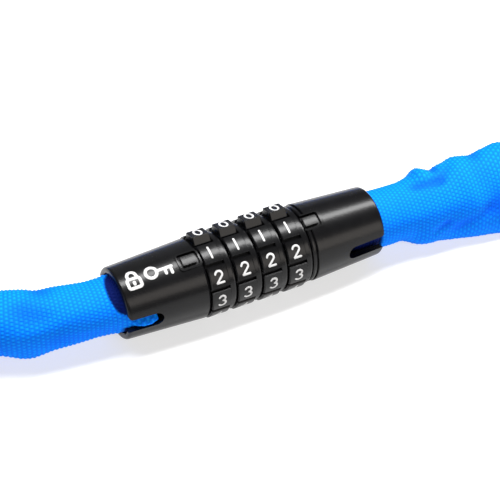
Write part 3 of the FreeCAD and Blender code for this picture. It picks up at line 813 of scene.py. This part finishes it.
# ---- sub-assemblies
@dataclass
class Dials:
    """The four numbered dials and their code rings."""

    finishes: Finishes
    count: int = 4
    start: float = -18.8
    pitch: float = 9.53
    pad_middle: float = 3.5
    flat_r: float = 15.5
    pen: Pen = field(default_factory=Pen)

    def build(self) -> None:
        """Dresses the dials and the rings and prints the numerals."""
        for number in range(1, self.count + 1):
            dress(self.finishes.dial, f"dial_{number}")
            dress(self.finishes.brass, f"code_ring_{number}")
            self._numerals(number)

    def _numerals(self, number: int) -> bpy.types.Object:
        """Prints 0 to 9 on one dial: 0 on the raised flat, the others on the pads.

        Args:
            number: the dial, 1 to 4.
        Returns:
            The printed piece.
        """
        x = self.start + (number - 1) * self.pitch + self.pad_middle
        patches = []
        for digit in range(10):
            angle = INDEX_ANGLE + STEP_ANGLE * (digit - 1)
            for line, closed in digit_lines(digit):
                mark = self.pen.stroke(line, closed)
                if digit == 0:
                    patches.append(on_flat(mark, x, angle, self.flat_r))
                else:
                    patches.append(wrapped(mark, x, angle, lambda along: np.full_like(along, DIAL_R)))
        piece = new_object(f"dial_{number}_numerals", patches, self.finishes.ink)
        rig.ride(piece, f"dial_body_{number}")
        LOG.info("built %s, %d faces", piece.name, len(piece.data.polygons))
        return piece


@dataclass
class Housings:
    """The socket and plug housings, with a printed padlock and key on the socket's."""

    finishes: Finishes
    big_x: float = 19.8
    big_r: float = 13.75
    end_x: float = 46.75
    end_r: float = 12.4
    middle_x: float = -37.2
    angle: float = 19.0
    pen: Pen = field(default_factory=lambda: Pen(width=1.15, lift=0.05, step=0.3))

    def build(self) -> None:
        """Dresses the housings and prints the symbol."""
        dress(self.finishes.housing, "socket_housing", "plug_housing")
        self._symbol()

    def _radius(self, along: np.ndarray) -> np.ndarray:
        """The socket housing's radius: a straight taper from its front to its rim."""
        share = (np.abs(along) - self.big_x) / (self.end_x - self.big_x)
        return self.big_r + (self.end_r - self.big_r) * share

    def _symbol(self) -> bpy.types.Object:
        """Prints a closed padlock and a key, drawn with plain strokes.

        Returns:
            The printed piece.
        """
        body = chain_of(
            arc(-4.0, -2.1, 0.7, 0.7, -90, 0), arc(-4.0, -0.2, 0.7, 0.7, 0, 90),
            arc(-7.0, -0.2, 0.7, 0.7, 90, 180), arc(-7.0, -2.1, 0.7, 0.7, 180, 270), (-4.0, -2.8))
        shackle = chain_of((-7.0, 0.6), arc(-5.5, 1.3, 1.5, 1.75, 180, 0), (-4.0, 0.6))
        keyhole = chain_of((-5.5, -0.9), (-5.5, -1.5))
        bow = arc(0.9, 0.3, 1.9, 1.9, 0, 360)
        shaft = chain_of((2.8, 0.3), (8.0, 0.3))
        bits = [chain_of((7.6, 0.3), (7.6, -1.9)), chain_of((5.6, 0.3), (5.6, -1.5))]
        lines = [(body, True), (shackle, False), (keyhole, False), (bow, True), (shaft, False)]
        lines += [(bit, False) for bit in bits]
        patches = [
            wrapped(self.pen.stroke(line, closed), self.middle_x, self.angle, self._radius)
            for line, closed in lines
        ]
        piece = new_object("padlock_and_key_print", patches, self.finishes.ink)
        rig.ride(piece, "lock_body")
        LOG.info("built %s, %d faces", piece.name, len(piece.data.polygons))
        return piece


@dataclass
class Works:
    """What is inside the barrel: core, bolt, springs, washers, pins and anchors."""

    finishes: Finishes

    def build(self) -> None:
        """Dresses every hidden part."""
        dress(self.finishes.plated, "core_tube", "bolt", "anchor_stud")
        dress(self.finishes.ring, "end_ring")
        dress(self.finishes.pin, "core_pin", "bolt_pin", "socket_anchor_pin", "plug_anchor_pin")
        dress(self.finishes.washer, "code_ring_washers")
        dress(self.finishes.spring, "click_springs", "ejector_spring")
        dress(self.finishes.ferrule, "socket_ferrule", "plug_ferrule")


@dataclass(frozen=True)
class Fold:
    """A crease or a swelling of the cloth between two places of the sleeve.

    Each place is a distance from the mouth, in millimetres, and an angle round the
    sleeve, in degrees from the front up over the top. A depth below zero is a crease.
    """

    mouth: Mouth
    first: tuple[float, float]
    second: tuple[float, float]
    width: float
    depth: float


# each fold: distance and angle of its two places, then its width and its depth
FOLD_TABLE = {
    Mouth.PLUG: (
        (18, 88, 26, 84, 2.4, -0.9),
        (27, 88, 34, 112, 2.2, -0.7),
        (21.5, 112, 22, 145, 2.4, 1.1),
        (27, 116, 27.5, 150, 1.9, -0.9),
        (35, 112, 36.5, 140, 2.6, 0.7),
        (43, 116, 43.5, 150, 2.6, -0.7),
        (53, 116, 53.5, 150, 4, 0.8),
        (17, -62, 18, -38, 4.2, 1.8),
        (10, -62, 10.5, -38, 2.4, -0.4),
        (22, -16, 26, -6, 1.9, -0.8),
        (30, -26, 42, 2, 2.8, -0.8),
        (30, -55, 62, -50, 6, 1.5),
        (14, 22, 30, 34, 4.5, 0.5),
        (35, 84, 38, 15, 3.2, 0.55),
        (45, 75, 47, 0, 3, -0.35),
    ),
    Mouth.SOCKET: (
        (24, 44, 31, 66, 4.5, -0.5),
        (-10, -6, -5, -5, 1.9, 2.7),
        (30, 18, 12, 46, 3.4, 0.45),
        (6, -22, 20, -8, 3.6, -0.3),
        (27, -62, 30, -50, 4, 0.9),
        (24, 112, 26, 140, 4, -0.8),
        (35, 110, 38, 140, 4.5, 0.6),
        (38, -70, 44, -50, 4, -0.8),
    ),
}
FOLDS = [
    Fold(mouth, (row[0], row[1]), (row[2], row[3]), row[4], row[5])
    for mouth, rows in FOLD_TABLE.items() for row in rows
]


@dataclass
class Sleeve:
    """The woven tube round the chain, and the chain inside it."""

    finishes: Finishes
    around: int = 184
    mean_r: float = 12.0
    diameter: float = 25.0
    length: float = 919.0
    near_step: float = 1.4 / 4
    far_step: float = 4.0
    mouth_at: float = HALF - SLEEVE_START
    near: tuple[float, float] = (58.0, 48.0)
    thread_height: float = 0.34
    broad_turn: float = 128.0
    link_pitch: float = 17.1
    seed: int = 7
    # distance from the mouth, half the broad width, half the narrow width
    plug_shape: tuple[tuple[float, float, float], ...] = (
        (-12, 9.2, 9.2), (-8, 9.9, 9.8), (0, 9.8, 9.5), (8, 9.8, 9.1), (14, 10.0, 9.3), (18, 10.8, 9.5),
        (22, 12.0, 9.7), (27, 12.2, 9.8), (35, 13.0, 9.8), (48, 14.4, 9.8),
        (62, 14.9, 10.2), (88, 13.4, 11.2), (121, 12.3, 11.8), (400, 12.2, 11.9))
    socket_shape: tuple[tuple[float, float, float], ...] = (
        (-12, 9.2, 9.2), (-8, 9.9, 9.9), (-1, 9.9, 9.8), (3, 9.3, 9.0), (8, 9.1, 8.9), (14, 9.5, 9.2),
        (22, 10.1, 9.5), (28, 10.7, 9.6), (38, 10.2, 9.5), (55, 11.0, 10.4),
        (85, 12.2, 11.7), (400, 12.2, 11.9))
    # reach, middle angle and softness of the tuck, and how it narrows round the mouth
    tuck: tuple[float, float, float] = (3.2, 70.0, 0.8)
    tuck_spread: float = 1.73
    plug_tuck: float = 0.6
    notch_half: float = 17.0
    notch_clear: float = 30.0
    fold_end: float = 1.3
    # height and lean of the swelling over each link, and where it sets in
    swell: tuple[float, float] = (0.42, 0.7)
    swell_in: tuple[float, float] = (8.0, 60.0)
    # the domes fade over this length, end this far inside a mouth and sink in the tuck
    dome_fade: float = 4.0
    dome_inside: float = 2.5
    dome_sunk: float = 0.7
    hem: float = 0.4
    floor_gap: float = 0.05

    def build(self) -> None:
        """Makes the cloth and the chain, and says how they move."""
        links = self._chain()
        cloth = self._cloth(links)
        for piece in (cloth, links):
            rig.blend(
                piece, "plug_body", "lock_body",
                start=(0.037, 0.0, AXIS_Z * MM), end=(-0.037, 0.0, AXIS_Z * MM))

    def _spline(self) -> tuple[np.ndarray, np.ndarray, np.ndarray]:
        """Reads the route's smooth line.

        Returns:
            Its points in millimetres, the distance along it and its directions.
        """
        curve = bpy.data.curves.new("sleeve_route", "CURVE")
        curve.dimensions = "3D"
        curve.resolution_u = 48
        spline = curve.splines.new("NURBS")
        spline.points.add(len(ROUTE) - 1)
        flat = [value * MM for point in ROUTE for value in (*point, 1.0 / MM)]
        spline.points.foreach_set("co", flat)
        spline.order_u = 3
        spline.use_endpoint_u = True
        holder = bpy.data.objects.new("sleeve_route", curve)
        bpy.context.scene.collection.objects.link(holder)
        mesh = bpy.data.meshes.new_from_object(holder.evaluated_get(bpy.context.evaluated_depsgraph_get()))
        points = np.zeros(len(mesh.vertices) * 3)
        mesh.vertices.foreach_get("co", points)
        bpy.data.objects.remove(holder)
        bpy.data.curves.remove(curve)
        bpy.data.meshes.remove(mesh)
        points = points.reshape(-1, 3) / MM
        run = np.concatenate([[0], np.cumsum(np.linalg.norm(np.diff(points, axis=0), axis=1))])
        ahead = np.gradient(points, run, axis=0)
        return points, run, ahead / np.linalg.norm(ahead, axis=1, keepdims=True)

    def _stations(self, total: float) -> np.ndarray:
        """Distances of the rings along the line: close together near the mouths, wide elsewhere.

        Args:
            total: the line's length, in millimetres.
        Returns:
            The distances, rising.
        """
        first = self.mouth_at - 3.0
        plug = np.arange(first, self.mouth_at + self.near[0], self.near_step)
        socket = total - np.arange(first, self.mouth_at + self.near[1], self.near_step)[::-1]
        count = int((socket[0] - plug[-1]) / self.far_step)
        far = np.linspace(plug[-1], socket[0], count + 1)[1:-1]
        ends = np.linspace(0, first, 4)[:-1]
        return np.concatenate([ends, plug, far, socket, total - ends[::-1]])

    def _profile(self, from_plug: np.ndarray, from_socket: np.ndarray) -> tuple[np.ndarray, np.ndarray]:
        """Half the broad and half the narrow width of the section at each ring.

        Each is read from the two mouths' tables, and the nearer mouth's is used.

        Args:
            from_plug: distance from the plug's mouth.
            from_socket: distance from the socket's mouth.
        Returns:
            The two half widths, in millimetres.
        """
        plug = np.array(self.plug_shape)
        socket = np.array(self.socket_shape)
        near_plug = from_plug < from_socket
        return tuple(
            np.where(
                near_plug,
                np.interp(from_plug, plug[:, 0], plug[:, k]),
                np.interp(from_socket, socket[:, 0], socket[:, k]))
            for k in (1, 2)
        )

    def _far_folds(self, total: float) -> list[Fold]:
        """Folds of the stretch away from the mouths, drawn from a seeded generator.

        Args:
            total: the line's length, in millimetres.
        Returns:
            The folds, measured from the plug's mouth.
        """
        draw = np.random.default_rng(self.seed)
        places = np.arange(78.0, total - 80.0, 9.0)
        folds = []
        for place in places:
            angle = draw.uniform(0, 360)
            lean, reach = draw.uniform(-40, 40), draw.uniform(3, 12)
            depth = draw.uniform(0.35, 0.9) * (1 if draw.uniform() < 0.45 else -1)
            folds.append(Fold(
                Mouth.PLUG, (place, angle), (place + reach, angle + lean), draw.uniform(1.8, 3.6), depth))
        return folds

    def _relief(
        self, from_plug: np.ndarray, from_socket: np.ndarray, angle: np.ndarray, total: float
    ) -> np.ndarray:
        """How far the folds and the links move the cloth out, in millimetres.

        A fold is its depth times a Gaussian of the distance across the line between its two
        places, times a Gaussian of how far past its ends a point lies. The links swell the
        cloth by a cosine of twice the angle that changes sign from link to link.

        Args:
            from_plug: each ring's distance from the plug's mouth.
            from_socket: each ring's distance from the socket's mouth.
            angle: the angles round the sleeve, in radians.
            total: the line's length, in millimetres.
        Returns:
            The movement for each ring and angle.
        """
        relief = np.zeros((len(from_plug), len(angle)))
        for fold in FOLDS + self._far_folds(total):
            along = from_plug if fold.mouth is Mouth.PLUG else from_socket
            a0, a1 = math.radians(fold.first[1]), math.radians(fold.second[1])
            middle = np.array([(fold.first[0] + fold.second[0]) / 2, (a0 + a1) / 2])
            half = np.array([(fold.second[0] - fold.first[0]) / 2, (a1 - a0) / 2 * self.mean_r])
            reach = float(np.linalg.norm(half))
            way = half / reach
            u = (along - middle[0])[:, None]
            v = (np.mod(angle - middle[1] + np.pi, 2 * np.pi) - np.pi)[None, :] * self.mean_r
            past = np.maximum(np.abs(u * way[0] + v * way[1]) - reach, 0.0)
            across = u * way[1] - v * way[0]
            ends = (past / (self.fold_end * fold.width)) ** 2
            relief += fold.depth * np.exp(-(across / fold.width) ** 2 - ends)
        nearer = np.minimum(from_plug, from_socket)
        share = np.clip((nearer - self.swell_in[0]) / self.swell_in[1], 0.0, 1.0)
        lumps = np.sin(2 * np.pi * from_plug / self.link_pitch)[:, None]
        height, lean = self.swell
        return relief + height * share[:, None] * lumps * np.cos(2 * angle + lean)[None, :]

    def _cloth(self, links: bpy.types.Object) -> bpy.types.Object:
        """Makes the sleeve's surface, a ring of points round each station of the line.

        A ring's point at angle t lies out from the line by the radius of an ellipse whose
        broad axis leans, plus the folds, plus the thread domes near the mouths. Sideways
        is level and up is square to it and to the line.

        Args:
            links: the chain inside the sleeve.
        Returns:
            The sleeve.
        """
        line, run, ahead = self._spline()
        total = float(run[-1])
        at = self._stations(total)
        middle = np.stack([np.interp(at, run, line[:, k]) for k in range(3)], axis=1)
        way = np.stack([np.interp(at, run, ahead[:, k]) for k in range(3)], axis=1)
        way /= np.linalg.norm(way, axis=1, keepdims=True)
        sideways = np.cross(way, np.array([0.0, 0.0, 1.0]))
        sideways /= np.linalg.norm(sideways, axis=1, keepdims=True)
        up = np.cross(sideways, way)
        angle = 2 * np.pi * np.arange(self.around) / self.around
        from_plug, from_socket = at - self.mouth_at, total - at - self.mouth_at
        broad, narrow = self._profile(from_plug, from_socket)
        lean = angle[None, :] - math.radians(self.broad_turn)
        ellipse = 1.0 / np.sqrt(
            (np.cos(lean) / broad[:, None]) ** 2 + (np.sin(lean) / narrow[:, None]) ** 2)
        relief = self._relief(from_plug, from_socket, angle, total)
        weave = self.finishes.weave
        domes = weave.heights(at[:, None] * MM, angle[None, :] / (2 * np.pi)) * self.thread_height
        nearest = np.where(from_plug < from_socket, from_plug - self.near[0], from_socket - self.near[1])
        outside = np.minimum(from_plug, from_socket) > -self.dome_inside
        domes *= np.clip(-nearest / self.dome_fade, 0.0, 1.0)[:, None] * outside[:, None]
        shade = self._tucked(from_plug, from_socket, angle)
        sunk = self.tuck[2] * shade * (from_socket > 0)[:, None]
        radius = ellipse + relief + domes * (1 - self.dome_sunk * shade) - sunk
        radius[[0, -1]] -= self.hem
        points = (
            middle[:, None, :]
            + sideways[:, None, :] * (radius * np.cos(angle))[..., None]
            + up[:, None, :] * (radius * np.sin(angle))[..., None]
        )
        points[..., 2] = np.maximum(points[..., 2], self.floor_gap)
        patch = Patch(points.reshape(-1, 3) * MM, [grid_faces(len(at), self.around)])
        piece = new_object("woven_sleeve", [patch], self.finishes.fabric)
        self._thread_map(piece, at, relief, shade)
        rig.replaces(piece, "socket_sleeve", "plug_sleeve")
        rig.slot(piece, "sleeve_fabric")
        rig.cord(
            piece, exit=(HALF * MM, 0.0, AXIS_Z * MM), length=self.length * MM, diameter=self.diameter * MM,
            far_end="object", stiffness="limp", lay="loose", path=(middle * MM).tolist(), with_pieces=[links])
        LOG.info("built %s, %d faces, line %.0f mm", piece.name, len(piece.data.polygons), total)
        return piece

    def _tucked(self, from_plug: np.ndarray, from_socket: np.ndarray, angle: np.ndarray) -> np.ndarray:
        """Where the cloth is tucked into the mouths and lies in their shade, from 0 to 1.

        At the socket the tuck reaches out by its length times the root of the cosine of the
        angle from its middle, times the spread, and leaves the notches in the light. At the
        plug it is an even strip.

        Args:
            from_plug: each ring's distance from the plug's mouth.
            from_socket: each ring's distance from the socket's mouth.
            angle: the angles round the sleeve, in radians.
        Returns:
            The share for each ring and angle.
        """
        turn = np.mod(angle - math.radians(self.tuck[1]) + np.pi, 2 * np.pi) - np.pi
        spread = np.clip(self.tuck_spread * turn, -np.pi / 2, np.pi / 2)
        reach = self.tuck[0] * np.sqrt(np.clip(np.cos(spread), 0, 1))
        notch = np.abs(np.mod(angle + np.pi / 2, np.pi) - np.pi / 2) < math.radians(self.notch_half)
        edge = np.where(notch, -self.notch_clear, reach)
        socket = np.clip((edge[None, :] - from_socket[:, None]) / self.tuck[2] + 0.5, 0, 1)
        plug = np.clip((self.plug_tuck - from_plug[:, None]) / self.tuck[2] + 0.5, 0, 1)
        return np.maximum(socket, plug)

    def _thread_map(
        self, piece: bpy.types.Object, at: np.ndarray, relief: np.ndarray, shade: np.ndarray
    ) -> None:
        """Writes the UV map of the threads, the share of painted shade in the creases, from their depth, and the
        painted shade at the mouths.

        Args:
            piece: the sleeve.
            at: each ring's distance along the line, in millimetres.
            relief: how far the folds move each point out.
            shade: how far each point is tucked into a mouth.
        """
        mesh = piece.data
        count = self.around
        ring = np.repeat(np.arange(len(at) - 1), count)
        column = np.tile(np.arange(count), len(at) - 1)
        rings = np.stack([ring, ring, ring + 1, ring + 1], axis=1)
        columns = np.stack([column, column + 1, column + 1, column], axis=1)
        places = np.stack([at[rings] * MM, columns * (self.finishes.weave.girth / count)], axis=-1)
        layer = mesh.uv_layers.new(name="weave")
        layer.data.foreach_set("uv", places.astype(np.float32).ravel())
        # share of painted shade in the creases: the deeper the cloth is pressed in, the darker
        dent = np.clip(-relief / 0.9, 0.0, 1.0)
        for label, values in (("dent", dent), ("shade", shade)):
            layer = mesh.attributes.new(label, "FLOAT", "POINT")
            layer.data.foreach_set("value", values.astype(np.float32).ravel())

    def _chain(self) -> bpy.types.Object:
        """Joins copies of the two chains' links into one piece that bends with the sleeve.

        Returns:
            The chain.
        """
        names = ("plug_chain", "socket_chain")
        patches = []
        for name in names:
            mesh = frame["nodes"][name].data
            points = np.zeros(len(mesh.vertices) * 3)
            mesh.vertices.foreach_get("co", points)
            corners = np.zeros(len(mesh.loops), int)
            mesh.loops.foreach_get("vertex_index", corners)
            places, numbers = np.unique(np.round(points.reshape(-1, 3), 8), axis=0, return_inverse=True)
            faces = numbers.ravel()[corners].reshape(-1, 3)
            a, b, c = faces.T
            proper = (a != b) & (b != c) & (a != c)
            patches.append(Patch(places, [faces[proper]]))
        piece = new_object("chain_links", patches, self.finishes.chain)
        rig.replaces(piece, *names)
        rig.slot(piece, "chain_steel")
        LOG.info("built %s, %d faces", piece.name, len(piece.data.polygons))
        return piece


@dataclass
class Studio:
    """The floor, the soft lights and the camera."""

    finishes: Finishes
    azimuth: float = -29.19
    elevation: float = 41.81
    roll: float = -2.24
    distance: float = 600.0
    focal: float = 1793.0
    frame_width: float = 500.0
    sideways: float = 4.15
    upwards: float = 4.58
    sensor: float = 36.0
    aim: Point = (-2.7, 0.0, AXIS_Z)

    def build(self) -> None:
        """Sets the floor, the lights and the camera."""
        self._floor()
        self._lights()
        self._camera()
        bpy.context.scene.view_settings.view_transform = "Standard"

    def _floor(self) -> None:
        """A flat square floor at z = 0."""
        corners = np.array([[-4.0, -4.0, 0.0], [4.0, -4.0, 0.0], [4.0, 4.0, 0.0], [-4.0, 4.0, 0.0]])
        floor = new_object("studio_floor", [Patch(corners, [np.array([[0, 1, 2, 3]])])], self.finishes.floor)
        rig.stage(floor)

    def _area(self, name: str, place: Point, size: tuple[float, float], power: float, colour: Colour) -> None:
        """Adds a rectangular soft light that faces the lock.

        Args:
            name: its name.
            place: its middle, in metres.
            size: its width and height, in metres.
            power: its power, in watts.
            colour: its colour.
        """
        data = bpy.data.lights.new(name, "AREA")
        data.shape = "RECTANGLE"
        data.size, data.size_y = size
        data.energy = power
        data.color = colour
        light = bpy.data.objects.new(name, data)
        bpy.context.scene.collection.objects.link(light)
        light.location = place
        back = np.array(place) / np.linalg.norm(place)
        side = np.cross((0.0, 1.0, 0.0), back)
        side /= np.linalg.norm(side)
        light.matrix_world = columns_matrix(side, np.cross(back, side), back, np.array(place))

    def _lights(self) -> None:
        """A long strip overhead, a low panel behind, a warm panel in front and an even sky."""
        self._area("top_strip", (0.21, 0.09, 0.85), (1.5, 0.21), 23.0, (1.0, 1.0, 1.0))
        self._area("back_panel", (0.45, 1.1, 0.30), (1.6, 0.5), 0.6, (0.97, 0.98, 1.0))
        self._area("front_panel", (0.42, -1.0, 0.50), (1.5, 0.42), 6.0, (1.0, 0.93, 0.86))
        world = bpy.data.worlds.new("studio_sky")
        world.use_nodes = True
        sky = next(n for n in world.node_tree.nodes if n.type == "BACKGROUND")
        sky.inputs["Color"].default_value = (0.95, 0.97, 1.0, 1.0)
        sky.inputs["Strength"].default_value = 0.17
        bpy.context.scene.world = world

    def _camera(self) -> None:
        """Sets the camera from its azimuth, elevation, roll and distance."""
        a, e, r = (math.radians(v) for v in (self.azimuth, self.elevation, self.roll))
        back = np.array([math.sin(a) * math.cos(e), -math.cos(a) * math.cos(e), math.sin(e)])
        right = np.array([math.cos(a), math.sin(a), 0.0])
        up = np.cross(back, right)
        place = np.array(self.aim) + back * self.distance + right * self.sideways + up * self.upwards
        across = right * math.cos(r) - up * math.sin(r)
        over = right * math.sin(r) + up * math.cos(r)
        data = bpy.data.cameras.new("camera")
        data.sensor_width = self.sensor
        data.lens = self.focal / self.frame_width * self.sensor
        data.clip_start = 0.01
        camera = bpy.data.objects.new("camera", data)
        bpy.context.scene.collection.objects.link(camera)
        camera.matrix_world = columns_matrix(across, over, back, place * MM)
        bpy.context.scene.camera = camera


def columns_matrix(x: np.ndarray, y: np.ndarray, z: np.ndarray, place: np.ndarray) -> "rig.Matrix":
    """A matrix with these axes and this place."""
    rows = np.eye(4)
    rows[:3, 0], rows[:3, 1], rows[:3, 2], rows[:3, 3] = x, y, z, place
    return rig.Matrix(rows.tolist())


def main() -> None:
    """Builds the studio, the sleeve, the housings, the dials and the works, in that order."""
    logging.basicConfig(level=logging.INFO, format="%(message)s")
    finishes = Finishes()
    for assembly in (Studio, Sleeve, Housings, Dials, Works):
        LOG.info("building %s", assembly.__name__)
        assembly(finishes).build()


if __name__ == "__main__":
    main()
    model_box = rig.bounds()
    with open("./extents.json", "w") as out:
        json.dump({
            "cad": [[float(v) for v in corner] for corner in cad_box],
            "visual": [[float(v) for v in corner] for corner in model_box],
        }, out)
